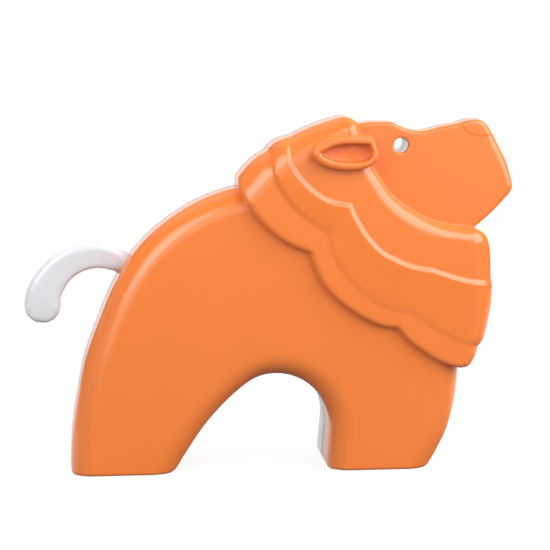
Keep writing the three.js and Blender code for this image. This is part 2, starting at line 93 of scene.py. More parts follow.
def smooth_run(points, step):
    """Points along a smooth curve through (x, z, edge round) points, straight if there are two."""
    p = np.array(points, float)
    if len(p) == 2:
        count = max(1, round(np.linalg.norm(p[1] - p[0]) / step))
        return p[0] + (p[1] - p[0]) * np.arange(count)[:, None] / count
    ends = [2 * p[0] - p[1], *p, 2 * p[-1] - p[-2]]
    made = []
    for p0, p1, p2, p3 in zip(ends, ends[1:], ends[2:], ends[3:]):
        d0, d1, d2 = (np.linalg.norm(b - a) ** 0.5 for a, b in ((p0, p1), (p1, p2), (p2, p3)))
        leave = ((p1 - p0) / d0 - (p2 - p0) / (d0 + d1) + (p2 - p1) / d1) * d1
        arrive = ((p2 - p1) / d1 - (p3 - p1) / (d1 + d2) + (p3 - p2) / d2) * d1
        count = max(1, round(np.linalg.norm(p2 - p1) / step))
        handles = [Vector(v) for v in (p1, p1 + leave / 3, p2 - arrive / 3, p2)]
        made += interpolate_bezier(*handles, count + 1)[:-1]
    return np.array([tuple(v) for v in made])


def edged(edge, *points):
    """Points of an outline that share one edge round."""
    return [(*point, edge) for point in points]


def outline(*runs, edge=None, step=POINT_STEP):
    """A closed outline, counter-clockwise from the near side, as rows of x, z and edge round."""
    if edge is not None:
        runs = [edged(edge, *points) for points in runs]
    return np.concatenate([smooth_run(points, step) for points in runs])


def hind_front(z):
    """Point on the front of the hind leg at a height."""
    return (-27.2 + 0.58 * z, z)


def fore_back(z):
    """Point on the back of the front leg at a height."""
    return (12.4 + 0.1 * z, z)


def fore_front(z):
    """Point on the front of the front leg at a height."""
    return (39.5 + 0.577 * z, z)


body_line = outline(
    [(HEEL, -GROUND_REACH), hind_front(-GROUND_REACH)],
    [hind_front(-GROUND_REACH), hind_front(LEG_STRAIGHT)],
    [hind_front(LEG_STRAIGHT), (-19, 12.4), (-11.4, 20.2), (-5.7, 24.1), (-0.4, 25), (4.6, 23.9),
     (9.1, 20.9), (12, 16.6), (13.2, 12), fore_back(LEG_STRAIGHT)],
    [fore_back(LEG_STRAIGHT), fore_back(-GROUND_REACH)],
    [fore_back(-GROUND_REACH), fore_front(-GROUND_REACH)],
    [fore_front(-GROUND_REACH), fore_front(LEG_STRAIGHT)],
    [fore_front(LEG_STRAIGHT), (44.3, 8.9), (46.2, 15.4), (47.3, 22.3), (47.6, 32), (44, 50), (30, 63),
     (10, 72), (-7, 74), (-14.4, 72.8), (-24.8, 68.1), (-35.3, 59.8), (-42.2, 50), (-46.8, 39.7),
     (-50.5, 29.4), (-52.7, 19), (-54.1, 9.5), (HEEL, 3)],
    [(HEEL, 3), (HEEL, -GROUND_REACH)],
    edge=BODY_EDGE,
)
NAPE = ((-5.8, 81.5), (-10.4, 76.6))
mane_line = outline(
    [(47, 26.7, SCALLOP_EDGE), (49.5, 27.1, 2.4), (51.5, 29.8, 3.4), (52.3, 32.1, 4)],
    [(52.3, 32.1, 4), (53.5, 33.5, 4.4), (54.4, 35.9, 4.8), (55.8, 42.5, 5), (56.1, 47.5, 5)],
    [(56.1, 47.5, 5), (55.9, 49.6, 5), (55.8, 53.7, 5), (55.3, 58.7, 4.5), (53.9, 61.5, 3.6),
     (51.2, 63.1, 3.2)],
    [(51.2, 63.1, 3.2), (47, 63.4, 3.2), (42.5, 64.2, 3.2), (38.6, 65.6, 3.3), (33.3, 68.7, 3.4),
     (29.7, 71.9, 3.4), (27, 75.7, 3.4), (24.8, 79.1, 3.4), (23.3, 82.9, 3.4), (21.9, 86.8, 3.2),
     (20.8, 89.9, 3)],
    [(20.8, 89.9, 3), (20, 91, 3.2), (18.7, 91.8, 3.6), (17.2, 92.1, 4.2), (12.4, 90.8, 5.6),
     (8.3, 89.3, 6.3), (3.5, 87.1, CROWN_EDGE)],
    edged(CROWN_EDGE, (3.5, 87.1), (1, 86.4), (-0.6, 85.7), (-2.2, 84.3)),
    [(-2.2, 84.3, CROWN_EDGE), (-2.8, 83.4, CROWN_EDGE), (*NAPE[0], 6.7), (-8.6, 78.8, NAPE_EDGE),
     (*NAPE[1], NAPE_EDGE)],
    edged(SCALLOP_EDGE, NAPE[1], (-10.5, 74.2), (-9.6, 71.9), (-6.7, 67.5), (-2.5, 62.9), (2.3, 59.5),
          (7.7, 57.2)),
    edged(SCALLOP_EDGE, (7.7, 57.2), (8.7, 54.2), (11.3, 48.7), (16.3, 43.7), (22.5, 39.6), (26.6, 37.9),
          (30.4, 37.4)),
    edged(SCALLOP_EDGE, (30.4, 37.4), (33.3, 34.1), (37.5, 30.9), (42.5, 28), (47, 26.7)),
)
# The band of the mane has the width of its step's slope in place of an edge round, and its line runs along
# the middle of that slope.
CRISP, SOFT = 1.3, 1.7     # along the upper and the lower edge
band_line = outline(
    [(62, 29, SOFT), (64, 49, CRISP)],
    edged(CRISP, (64, 49), (56.4, 49), (51.8, 49.2), (46.7, 50.2), (39.5, 52.6)),
    edged(CRISP, (39.5, 52.6), (34.1, 53.6), (29.1, 55.8), (26.5, 57.3), (22.9, 60.9), (20, 65.4),
          (18, 69.6)),
    edged(CRISP, (18, 69.6), (14.1, 70.3), (11, 71.6), (8.1, 73.7), (5.1, 76.8), (2.8, 80.5), (2.2, 83.4),
          (3, 87), (4, 96)),
    [(4, 96, CRISP), (-1, 96, SOFT)],
    edged(SOFT, (-1, 96), (-1.6, 84.9), (-1.4, 77.6), (0.9, 73), (5, 68.1), (9.2, 65), (12.7, 62.4)),
    edged(SOFT, (12.7, 62.4), (13.5, 58.2), (15.6, 53.8), (19.7, 48.9), (24.9, 44.6), (29.9, 42.5),
          (34.1, 41.9)),
    edged(SOFT, (34.1, 41.9), (37.2, 39.8), (41.2, 37), (46.7, 34.3), (52.8, 32), (62, 29)),
)
head_line = outline(
    [*edged(HEAD_EDGE, (36, 58), (48, 60), (52.7, 63.2), (56.7, 66.6)), (61.5, 71.5, 1.1)],
    [(61.5, 71.5, 1.1), (62.3, 73.2, 1.3), (61.9, 75.6, 1.6), (60.6, 79.9, 1.8), (58.1, 85, 1.8),
     (57.1, 86.9, 1.6), (56.1, 88.6, 1.4)],
    [(56.1, 88.6, 1.4), (55, 90, 1.1), (53.4, 90.9, 1),
     *edged(HEAD_EDGE, (51.2, 90.9), (49.2, 90.5), (47.6, 90), (43.6, 89.3), (38.4, 88.1), (34.9, 88.4),
            (31.9, 89.6), (30.2, 90.4), (27.2, 90.5), (22.1, 90.2), (18, 88.6))],
    edged(HEAD_EDGE, (18, 88.6), (20, 74), (36, 58)),
)
nose_line = outline(
    [(46.6, 96), (48.4, 90.4)],
    [(48.4, 90.4), (48.9, 89.1), (50.3, 87.7), (52.9, 86.7), (55.3, 86.9), (57.5, 86.7)],
    [(57.5, 86.7), (66, 86)],
    [(66, 86), (66, 96)],
    [(66, 96), (46.6, 96)],
    edge=NOSE_SLOPE,
    step=FINE_STEP,
)
ear_line = outline(
    [(7.8, 83.2), (8.2, 82), (9.3, 80.9), (11.3, 79.7), (14.2, 78.8), (17, 78.5), (20.2, 78.7),
     (23.2, 79.5), (25.3, 80.5)],
    [(25.3, 80.5), (25.8, 81.3), (25.8, 82.3), (25.2, 84.6), (24.3, 87.2)],
    [(24.3, 87.2), (23.4, 87.5), (20.2, 87.6), (16.2, 87.5), (12.9, 87.3), (11.3, 86.7), (9.3, 85.6),
     (8.5, 84.8), (7.8, 83.2)],
    edge=HOLLOW_EDGE,
    step=FINE_STEP,
)
ear_hollow_line = outline(
    [(10.5, 83.2), (10.9, 82.6), (13.3, 81.4), (16.3, 80.9), (19.3, 80.8), (22.2, 81.2), (23.2, 81.9)],
    [(23.2, 81.9), (23.5, 83.1), (23.3, 84.2), (22.9, 85.2)],
    [(22.9, 85.2), (20.3, 85.4), (17.5, 85.4), (14.9, 85.2), (12.3, 84.2), (10.5, 83.2)],
    edge=HOLLOW_EDGE,
    step=FINE_STEP,
)
# Everything above the soles: the heels and toes are rounded where they meet the ground.
ASIDE, ABOVE = 90, 120     # well outside the toy
ground_line = outline(
    [(-ASIDE, 14), (-57.5, 12)],
    [(-57.5, 12), (HEEL, 1.1)],
    [(HEEL, 1.1), (-54.15, 0.3), (-53.3, 0)],
    [(-53.3, 0), (-28.8, 0)],
    [(-28.8, 0), (-27.4, 0.45), hind_front(1.3)],
    [hind_front(1.3), (-17.2, 12)],
    [(-17.2, 12), (10.6, 12)],
    [(10.6, 12), fore_back(1)],
    [fore_back(1), (12.75, 0.27), (13.5, 0)],
    [(13.5, 0), (37.9, 0)],
    [(37.9, 0), (39.3, 0.45), fore_front(1.3)],
    [fore_front(1.3), (49.4, 12)],
    [(49.4, 12), (ASIDE, 14)],
    [(ASIDE, 14), (ASIDE, ABOVE)],
    [(ASIDE, ABOVE), (-ASIDE, ABOVE)],
    [(-ASIDE, ABOVE), (-ASIDE, 14)],
    edge=SOLE_EDGE,
)
EYE_SIDES = 40


def circle(radius):
    """An outline round the middle of the eye."""
    turns = np.linspace(0, 2 * math.pi, EYE_SIDES, endpoint=False)
    points = EYE_AT + radius * np.stack((np.cos(turns), np.sin(turns)), 1)
    return np.array(edged(EYE_EDGE, *points))


eye_line = circle(EYE_RADIUS)
AT_ONCE = 500              # points measured together, to keep the tables small


def inside(points, line):
    """Distance inside a closed outline, negative outside it, and the edge round at its nearest point."""
    x, z, edges = line.T
    run_x, run_z, run_edge = (np.roll(line, -1, 0) - line).T
    length = run_x ** 2 + run_z ** 2
    slope = run_x / np.where(run_z == 0, 1e-12, run_z)
    distance, edge = np.empty(len(points)), np.empty(len(points))
    for first in range(0, len(points), AT_ONCE):
        some = slice(first, first + AT_ONCE)
        away_x, away_z = (points[some, i, None] - start for i, start in enumerate((x, z)))
        along = np.clip((away_x * run_x + away_z * run_z) / length, 0, 1)
        gap = (away_x - along * run_x) ** 2 + (away_z - along * run_z) ** 2
        near = gap.argmin(1)
        rows = np.arange(len(near))
        spans = (away_z < 0) != (away_z < run_z)
        crossed = (spans & (away_x < away_z * slope)).sum(1) % 2
        distance[some] = np.sqrt(gap[rows, near]) * np.where(crossed == 1, 1, -1)
        edge[some] = edges[near] + along[rows, near] * run_edge[near]
    return distance, edge


def stand(below, distance, edge, top, floor):
    """A tier on what is below it: small fillet at the foot, steep wall, rounded upper edge, flat top."""
    foot = np.clip(np.minimum(top - edge - below, below - floor), 0, TIER_FILLET)
    climb = np.clip(distance + foot, 0, foot)
    skirt = below + foot - np.sqrt(foot ** 2 - climb ** 2)
    wall = skirt + np.maximum(top - edge - skirt, 0) * np.clip(distance / WALL_DRAFT, 0, 1)
    turn = np.clip(distance - WALL_DRAFT, 0, edge)
    crown = top - edge + np.sqrt(edge ** 2 - (edge - turn) ** 2)
    return np.where(distance < WALL_DRAFT, wall, np.maximum(below, crown))


EASE = ((1, 2), (0.2, 0.5))   # share of a slope that is eased at each end, by the slope's width


def ramp(distance, width):
    """Share of a low step's rise across its slope: a narrow slope is nearly straight, a wide one eased."""
    along = np.clip(distance / width + 0.5, 0, 1)
    ease = np.interp(width, *EASE)
    eased = along - ease / 2
    eased = np.where(along < ease, along ** 2 / (2 * ease), eased)
    eased = np.where(along > 1 - ease, 1 - ease - (1 - along) ** 2 / (2 * ease), eased)
    return eased / (1 - ease)


def cut(height, distance, edge, floor):
    """What is left of a height beside a cut: a rounded corner, then a wall down to the floor."""
    turn = np.clip(distance - WALL_DRAFT, 0, edge)
    rounded = height - edge + np.sqrt(edge ** 2 - (edge - turn) ** 2)
    wall = floor + (height - edge - floor) * np.clip(distance / WALL_DRAFT, 0, 1)
    return np.where(distance < WALL_DRAFT, wall, rounded)


def parting_floor(points, lift):
    """Depth of the parting line, which steps round the tail's stem where the stem leaves the back."""
    away = points - TAIL_ROOT
    across = away @ np.array((-STEM_WAY[1], STEM_WAY[0]))
    behind = (away @ STEM_WAY) < TAIL_PASSAGE_LENGTH
    notch = np.sqrt(np.maximum(TAIL_PASSAGE_RADIUS ** 2 - across ** 2, 0)) * behind
    return FACE_LEAN * points[:, 1] + np.maximum(lift, notch)


NAPE_REACH = 10            # how far past its lower end the round of the nape runs on


def mane_face(points, edge):
    """Edge round and depth of the mane's face, which also falls off past the lower end of the nape."""
    upper, lower = np.array(NAPE)
    along = (lower - upper) / np.linalg.norm(lower - upper)
    away = (points - upper) @ np.array((-along[1], along[0]))
    left = NAPE_EDGE - np.clip(away, 0, NAPE_EDGE)
    fall = NAPE_EDGE - np.sqrt(NAPE_EDGE ** 2 - left ** 2)
    by_corner = np.linalg.norm(points - lower, axis=1) < NAPE_REACH
    past = by_corner & (edge < (SCALLOP_EDGE + NAPE_EDGE) / 2)
    edge = np.where(past, SCALLOP_EDGE, np.where(by_corner, np.maximum(edge, CROWN_EDGE), edge))
    return edge, MANE_HALF - np.where(past, fall, 0)


LOW_STEP = ((62, 78), (0.3, 0.9))   # share of the band's rise at its lower edge, by height


def band_tilt(points):
    """Share of the band's rise: all of it at the upper edge, and less towards the lower one."""
    lower = band_line[:, 2] > (CRISP + SOFT) / 2
    above, under = (np.linalg.norm(points[:, None] - band_line[side, :2], axis=2).min(axis=1)
                    for side in (~lower, lower))
    low = np.interp(points[:, 1], *LOW_STEP)
    return low + (1 - low) * under / (above + under)


def with_ear(points, depth):
    """Depth with the ear on it: a full, rounded rim about a dished hollow."""
    ear, _ = inside(points, ear_line)
    hollow, _ = inside(points, ear_hollow_line)
    rim = (ear > 0) & (hollow < 0)
    across = np.where(rim, (ear + hollow) / np.maximum(ear - hollow, 1e-9), 0)
    full = np.where(across < 0, *EAR_FULLNESS)
    fall = 1 - (1 - np.abs(across) ** full) ** (1 / full)
    bottom = np.where(across < 0, depth, EAR_FLOOR)
    depth = np.where(rim, np.maximum(EAR_HALF - (EAR_HALF - bottom) * fall, bottom), depth)
    corner = np.clip(HOLLOW_EDGE - hollow, 0, HOLLOW_EDGE)
    dish = EAR_FLOOR + HOLLOW_EDGE - np.sqrt(HOLLOW_EDGE ** 2 - corner ** 2)
    return np.where(hollow >= 0, dish, depth)


def outer_relief(points):
    """Depth of the outer skin at each point, and how far the point is inside the half's outline."""
    floor = parting_floor(points, SEAM_GAP / 2 + SEAM_ROUND)
    body, body_edge = inside(points, body_line)
    mane, mane_edge = inside(points, mane_line)
    band, band_slope = inside(points, band_line)
    head, head_edge = inside(points, head_line)
    nose, nose_slope = inside(points, nose_line)
    ground, ground_edge = inside(points, ground_line)
    eye = np.linalg.norm(points - EYE_AT, axis=1) - EYE_RADIUS
    depth = np.maximum(stand(floor, body, body_edge, BODY_HALF, floor),
                       stand(floor, head, head_edge, FACE_HALF, floor))
    over = stand(floor, head, head_edge, FACE_HALF + NOSE_RISE, floor)
    depth = depth + np.maximum(over - depth, 0) * ramp(nose, nose_slope)
    mane_edge, mane_top = mane_face(points, mane_edge)
    depth = stand(depth, mane, mane_edge, mane_top, floor)
    over = stand(floor, mane, mane_edge, BAND_HALF, floor)
    depth = depth + np.maximum(over - depth, 0) * ramp(band, band_slope) * band_tilt(points)
    depth = with_ear(points, depth)
    depth = cut(depth, ground, ground_edge, floor)
    depth = cut(depth, eye, np.full(len(eye), EYE_EDGE), floor)
    reach = np.minimum(np.maximum.reduce((body, mane, head)), np.minimum(ground, eye))
    return depth, reach


def inner_relief(points):
    """Depth of the hollow, one wall inside the skin, and how far the point is inside the hollow."""
    floor = parting_floor(points, SEAM_GAP / 2)
    depth = floor
    reach = np.full(len(points), -np.inf)
    for line, top in ((body_line, BODY_HALF), (head_line, FACE_HALF), (mane_line, MANE_HALF)):
        distance, edge = inside(points, line)
        edge = np.maximum(edge - WALL, HOLLOW_EDGE)
        depth = np.maximum(depth, stand(floor, distance - WALL, edge, top - WALL, floor))
        reach = np.maximum(reach, distance - WALL)
    tube = np.linalg.norm(points - EYE_AT, axis=1) - EYE_TUBE_RADIUS
    sole = points[:, 1] - WALL
    for distance in (tube, sole):
        depth = cut(depth, distance, np.full(len(points), HOLLOW_EDGE), floor)
        reach = np.minimum(reach, distance)
    return depth, reach


def steepest(points, relief):
    """Unit direction at each point in which it gets further inside the outline."""
    step = 0.02
    slope = np.empty(points.shape)
    for axis in (0, 1):
        aside = np.zeros(2)
        aside[axis] = step
        slope[:, axis] = relief(points + aside)[-1] - relief(points - aside)[-1]
    return slope / np.maximum(np.linalg.norm(slope, axis=1), 1e-9)[:, None]


FAN_FROM, FAN_STEP = 0.35, 0.25     # radians: a corner that turns further gets a point at each step
LEAST_SPREAD = 0.5                  # keeps the points of sharp corners from flying off
PULL_FROM, PULL_TO = 0.002, 0.3     # points that miss their ring by between these are pulled onto it
RING_MISS = 0.01                    # points that still miss it by more are not tied to the ring


def ring(line, offset):
    """The outline drawn inwards by an offset, with a fan of points round corners that open out."""
    points = line[:, :2]
    if offset == 0:
        return points, np.full(len(points), True)
    arrive = points - np.roll(points, 1, 0)
    arrive /= np.linalg.norm(arrive, axis=1)[:, None]
    leave = np.roll(arrive, -1, 0)
    made = []
    for p, a, b in zip(points, arrive, leave):
        turn = math.atan2(a[0] * b[1] - a[1] * b[0], a @ b)
        if turn * offset < 0 and abs(turn) > FAN_FROM:
            steps = math.ceil(abs(turn) / FAN_STEP)
            angles = math.atan2(a[0], -a[1]) + turn * np.arange(steps + 1) / steps
            made += [p + offset * np.array((math.cos(t), math.sin(t))) for t in angles]
        else:
            normal = np.array((-a[1] - b[1], a[0] + b[0]))
            made.append(p + offset * normal / max(LEAST_SPREAD, normal @ normal / 2))
    made = np.array(made)
    miss = offset - inside(made, line)[0]
    off = np.flatnonzero((np.abs(miss) > PULL_FROM) & (np.abs(miss) < PULL_TO))
    made[off] += miss[off, None] * steepest(made[off], lambda p: inside(p, line)[:1])
    miss[off] = offset - inside(made[off], line)[0]
    return made, np.abs(miss) < RING_MISS


EYE_CLEAR = 0.7                     # only the eye's own rings come nearer to its edge
ROW_STEP = 0.87                     # height of an even triangle with sides of 1
SURE_IN, SURE_OUT = 0.1, -0.5       # triangles between these are judged by their middle


def moulded_sheet(rings, fill_step, relief):
    """A fine sheet over the half's outline: rings follow the edges, and each point goes to its depth."""
    net, ties = [], []
    for line, offsets in rings:
        for offset in offsets:
            points, kept = ring(line, offset)
            if line is not eye_line:
                kept = kept & (np.linalg.norm(points - EYE_AT, axis=1) > EYE_RADIUS + EYE_CLEAR)
            first, count = len(net), len(points)
            net += [tuple(p) for p in points]
            tied = [i for i in range(count) if kept[i] and kept[(i + 1) % count]]
            ties += [(first + i, first + (i + 1) % count) for i in tied]
    low, high = np.min(net, 0), np.max(net, 0)
    for row, z in enumerate(np.arange(low[1], high[1], fill_step * ROW_STEP)):
        start = low[0] + (row % 2) * fill_step / 2
        net += [(x, z) for x in np.arange(start, high[0], fill_step)]
    flat, _, tris, *_ = delaunay_2d_cdt([Vector(p) for p in net], ties, [], 0, 1e-5, False)
    flat, tris = np.array([tuple(p) for p in flat]), np.array(tris)
    depth, reach = relief(flat)
    within = reach[tris].min(1) > SURE_IN
    unsure = np.flatnonzero(~within & (reach[tris].max(1) > SURE_OUT))
    within[unsure] = relief(flat[tris[unsure]].mean(1))[1] > 0
    return flat, depth, tris[within]


def lay_sheet(built, flat, depth, tris):
    """Puts a sheet into the half's mesh and returns its border edges."""
    corners = {}
    for i in np.unique(tris):
        x, z = flat[i]
        corners[i] = built.verts.new(((x + DRAWING_X) * MM, (FACE_LEAN * z - depth[i]) * MM, z * MM))
    faces = [built.faces.new([corners[i] for i in tri]) for tri in tris]
    return [e for e in dict.fromkeys(e for f in faces for e in f.edges) if e.is_boundary]


def flat_points(corners):
    """Where corners of a mesh are on the drawing."""
    return np.array([(v.co.x / MM - DRAWING_X, v.co.z / MM) for v in corners])


EYE_NEAR = 0.1


def by_eye(corner):
    """Whether a corner of a border is on the edge of the eye hole."""
    return math.dist(flat_points([corner])[0], EYE_AT) < EYE_RADIUS + EYE_NEAR


def ends_of(edges):
    """The corners of some edges, each once and in order."""
    return list(dict.fromkeys(v for e in edges for v in e.verts))


EDGE_STEPS = 7
PAST_EDGE = 0.35                    # from the end of an edge round to a last ring on the flat


def edge_rings(edge, before=()):
    """Offsets of the rings that follow a wall and its rounded edge."""
    turns = np.linspace(0, math.pi / 2, EDGE_STEPS + 1)
    rounds = [WALL_DRAFT + edge * (1 - math.cos(t)) for t in turns]
    return [*before, 0, *rounds, WALL_DRAFT + edge + PAST_EDGE]


# The rings are close together where the skin curves or steps.
eye_round = [-WALL_DRAFT - EYE_EDGE * share for share in (0, 0.2, 0.5, 1)]
skin_rings = [
    (body_line, edge_rings(BODY_EDGE)),
    (mane_line, edge_rings(2.4, (-0.8, -0.4, -0.15, -0.07)) + [3.6, 4.4, 5.4, 6.6]),
    (band_line, (-1, -0.75, -0.5, -0.35, -0.15, 0.15, 0.35, 0.5, 0.75, 1)),
    (head_line, edge_rings(1) + [1.7, 2.2]),
    (nose_line, (-0.7, -0.45, -0.3, -0.15, 0, 0.15, 0.3, 0.45, 0.7)),
    (ear_line, (-0.8, -0.45, -0.25, -0.1, 0, 0.04, 0.12, 0.25, 0.42, 0.62, 0.85, 1.1)),
    (ear_hollow_line, (-0.85, -0.62, -0.42, -0.25, -0.12, -0.04, 0, 0.1, 0.25, 0.4)),
    (ground_line, edge_rings(SOLE_EDGE)),
    (eye_line, [0, *eye_round, -0.85, -1.3]),
]
sole_line = outline([(-ASIDE, WALL), (ASIDE, WALL)], [(ASIDE, WALL), (ASIDE, ABOVE)],
                    [(ASIDE, ABOVE), (-ASIDE, ABOVE)], [(-ASIDE, ABOVE), (-ASIDE, WALL)],
                    edge=HOLLOW_EDGE, step=3)
hollow_rings = [(line, [WALL, WALL + WALL_DRAFT, WALL + 0.8, WALL + 2])
                for line in (body_line, mane_line, head_line)]
hollow_rings += [(sole_line, [0, WALL_DRAFT, HOLLOW_EDGE]),
                 (circle(EYE_TUBE_RADIUS), [0, -WALL_DRAFT, -HOLLOW_EDGE])]
SKIN_NET, HOLLOW_NET = 3.5, 5       # spacing of the points between the rings
SEAM_STEPS = 3
eye_middle = Vector(((EYE_AT[0] + DRAWING_X) * MM, 0, EYE_AT[1] * MM))


def widen(built, corners, radius):
    """Moves corners from the edge of the eye hole out to a radius."""
    share = radius / EYE_RADIUS
    bmesh.ops.scale(built, vec=(share, 1, share), space=Matrix.Translation(-eye_middle), verts=corners)


half = bmesh.new()
border = lay_sheet(half, *moulded_sheet(skin_rings, SKIN_NET, outer_relief))
eye_verts = [v for v in ends_of(border) if by_eye(v)]
eye_edges = [e for e in border if all(v in eye_verts for v in e.verts)]
lip = [e for e in border if e not in eye_edges]
for step in range(SEAM_STEPS):
    turn, next_turn = (math.pi / 2 * s / SEAM_STEPS for s in (step, step + 1))
    grown = bmesh.ops.extrude_edge_only(half, edges=lip)["geom"]
    lip = [g for g in grown if isinstance(g, bmesh.types.BMEdge)]
    corners = [g for g in grown if isinstance(g, bmesh.types.BMVert)]
    draw_in = SEAM_ROUND * (math.cos(turn) - math.cos(next_turn)) * MM
    draw_back = SEAM_ROUND * (math.sin(next_turn) - math.sin(turn)) * MM
    for corner, (x, z) in zip(corners, steepest(flat_points(corners), outer_relief)):
        corner.co += Vector((x * draw_in, draw_back, z * draw_in))
    lip = [e for e in lip if e.is_boundary]
inner_lip = lay_sheet(half, *moulded_sheet(hollow_rings, HOLLOW_NET, inner_relief))
bore_verts = {v: half.verts.new((v.co.x, 0, v.co.z)) for v in eye_verts}
widen(half, list(bore_verts.values()), EYELET_RADIUS)
bore_edges = [half.edges.new([bore_verts[v] for v in e.verts]) for e in eye_edges]
for corner in ends_of(inner_lip + bore_edges):
    point = flat_points([corner])
    corner.co.y = (FACE_LEAN * point[0, 1] - parting_floor(point, SEAM_GAP / 2)[0]) * MM

# The parting face closes the wall between the outer skin and the hollow.
rim_edges = lip + inner_lip + bore_edges
rim_verts = ends_of(rim_edges)
number = {v: i for i, v in enumerate(rim_verts)}
ties = [tuple(number[v] for v in e.verts) for e in rim_edges]
points = flat_points(rim_verts)
found, _, tris, source, *_ = delaunay_2d_cdt([Vector(p) for p in points], ties, [], 0, 1e-7, True)
middles = np.array([sum((found[i] for i in tri), Vector((0, 0))) / 3 for tri in tris])
odd = np.zeros(len(middles), bool)
for a, b in ties:
    (xa, za), (xb, zb) = points[a], points[b]
    spans = (za > middles[:, 1]) != (zb > middles[:, 1])
    odd ^= spans & (middles[:, 0] < xa + (middles[:, 1] - za) / ((zb - za) or 1e-12) * (xb - xa))
for tri in [t for t, wanted in zip(tris, odd) if wanted]:
    half.faces.new([rim_verts[source[i][0]] for i in tri])


def with_eye(half, wall_end, radius):
    """A copy of the half whose eye wall ends at a depth, turns out to a radius and meets the bore."""
    shell = half.copy()
    border = [e for e in shell.edges if e.is_boundary]
    hole = [e for e in border if by_eye(e.verts[0])]
    bore = [e for e in border if not by_eye(e.verts[0])]
    for corner in ends_of(hole):
        corner.co.y = wall_end(corner.co.z / MM) * MM
    grown = bmesh.ops.extrude_edge_only(shell, edges=hole)["geom"]
    widen(shell, [g for g in grown if isinstance(g, bmesh.types.BMVert)], radius)
    turned = [g for g in grown if isinstance(g, bmesh.types.BMEdge) and g.is_boundary]
    bmesh.ops.bridge_loops(shell, edges=turned + bore)
    bmesh.ops.recalc_face_normals(shell, faces=shell.faces)
    return shell


shell = with_eye(half, lambda z: FACE_LEAN * z - FACE_HALF + EYE_SKIN, EYELET_RADIUS)
# Painted shade: within a fraction of a mm of the parting plane the colour is darkened towards this, in
# place of the shadow inside the groove between the halves.
PAINTED_SEAM_SHADE = (0.06, 0.035, 0.025)
SEAM_SHADE_FADE = (0.0003, 0.0006)        # m from the parting plane
CLOUDS = (0.97, 1.03)               # darkest and lightest
GRAIN_SHARE = 0.25                  # beside the orange peel


def moulded_skin():
    """Look shared by the moulded plastics: faint cloudy colour, a slight orange peel, and painted shade
    along the parting line.
    """
    group = bpy.data.node_groups.new("moulded_skin", "ShaderNodeTree")
    sockets = group.interface
    sockets.new_socket("Colour", in_out="INPUT", socket_type="NodeSocketColor")
    sockets.new_socket("Seam", in_out="INPUT", socket_type="NodeSocketFloat")
    sockets.new_socket("Colour", in_out="OUTPUT", socket_type="NodeSocketColor")
    sockets.new_socket("Height", in_out="OUTPUT", socket_type="NodeSocketFloat")
    add, link = group.nodes.new, group.links.new
    given, result = add("NodeGroupInput"), add("NodeGroupOutput")
    place = add("ShaderNodeTexCoord")
    noises = {}
    for name, scale, detail in (("cloud", 45, 3), ("peel", 420, 2), ("grain", 2600, 2)):
        noises[name] = add("ShaderNodeTexNoise")
        noises[name].inputs["Scale"].default_value = scale
        noises[name].inputs["Detail"].default_value = detail
        link(place.outputs["Object"], noises[name].inputs["Vector"])
    cloud = add("ShaderNodeMapRange")
    cloud.inputs["To Min"].default_value, cloud.inputs["To Max"].default_value = CLOUDS
    link(noises["cloud"].outputs["Fac"], cloud.inputs["Value"])
    tint = add("ShaderNodeHueSaturation")
    link(cloud.outputs["Result"], tint.inputs["Value"])
    link(given.outputs["Colour"], tint.inputs["Color"])
    # Painted shade: a mask near the parting plane darkens the colour there, standing in for the shadow in
    # the groove.
    split = add("ShaderNodeSeparateXYZ")
    link(place.outputs["Object"], split.inputs["Vector"])
    away = add("ShaderNodeMath")
    away.operation = "ABSOLUTE"
    link(split.outputs["Y"], away.inputs[0])
    seam_shade_mask = add("ShaderNodeMapRange")
    seam_shade_mask.interpolation_type = "SMOOTHSTEP"
    seam_shade_mask.inputs["From Min"].default_value, seam_shade_mask.inputs["From Max"].default_value = SEAM_SHADE_FADE
    seam_shade_mask.inputs["To Max"].default_value = 0.0
    link(away.outputs["Value"], seam_shade_mask.inputs["Value"])
    link(given.outputs["Seam"], seam_shade_mask.inputs["To Min"])
    seam_shade = add("ShaderNodeMix")
    seam_shade.data_type = "RGBA"
    seam_shade.inputs["B"].default_value = (*PAINTED_SEAM_SHADE, 1)
    link(seam_shade_mask.outputs["Result"], seam_shade.inputs["Factor"])
    link(tint.outputs["Color"], seam_shade.inputs["A"])
    link(seam_shade.outputs["Result"], result.inputs["Colour"])
    mixed = add("ShaderNodeMath")
    mixed.operation = "MULTIPLY_ADD"
    mixed.inputs[1].default_value = GRAIN_SHARE
    link(noises["grain"].outputs["Fac"], mixed.inputs[0])
    link(noises["peel"].outputs["Fac"], mixed.inputs[2])
    link(mixed.outputs["Value"], result.inputs["Height"])
    return group


skin_look = moulded_skin()
PLASTIC_IOR = 1.57
PLASTIC_SHINE = 0.65
PEEL_STRENGTH = 0.25
PEEL_HEIGHT = 0.00004               # m


def moulded_plastic(name, colour, roughness, seam_shade=0):
    """A plastic with the shared look, and as much painted shade along the parting line as asked for."""
    material = bpy.data.materials.new(name)
    material.use_nodes = True
    nodes, link = material.node_tree.nodes, material.node_tree.links.new
    surface = nodes["Principled BSDF"]
    look = nodes.new("ShaderNodeGroup")
    look.node_tree = skin_look
    look.inputs["Colour"].default_value = (*colour, 1)
    look.inputs["Seam"].default_value = seam_shade
    bump = nodes.new("ShaderNodeBump")
    bump.inputs["Strength"].default_value = PEEL_STRENGTH
    bump.inputs["Distance"].default_value = PEEL_HEIGHT
    link(look.outputs["Colour"], surface.inputs["Base Color"])
    surface.inputs["Roughness"].default_value = roughness
    link(look.outputs["Height"], bump.inputs["Height"])
    link(bump.outputs["Normal"], surface.inputs["Normal"])
    surface.inputs["IOR"].default_value = PLASTIC_IOR
    surface.inputs["Specular IOR Level"].default_value = PLASTIC_SHINE
    return material


SHARP = math.radians(50)            # edges that turn more stay crisp


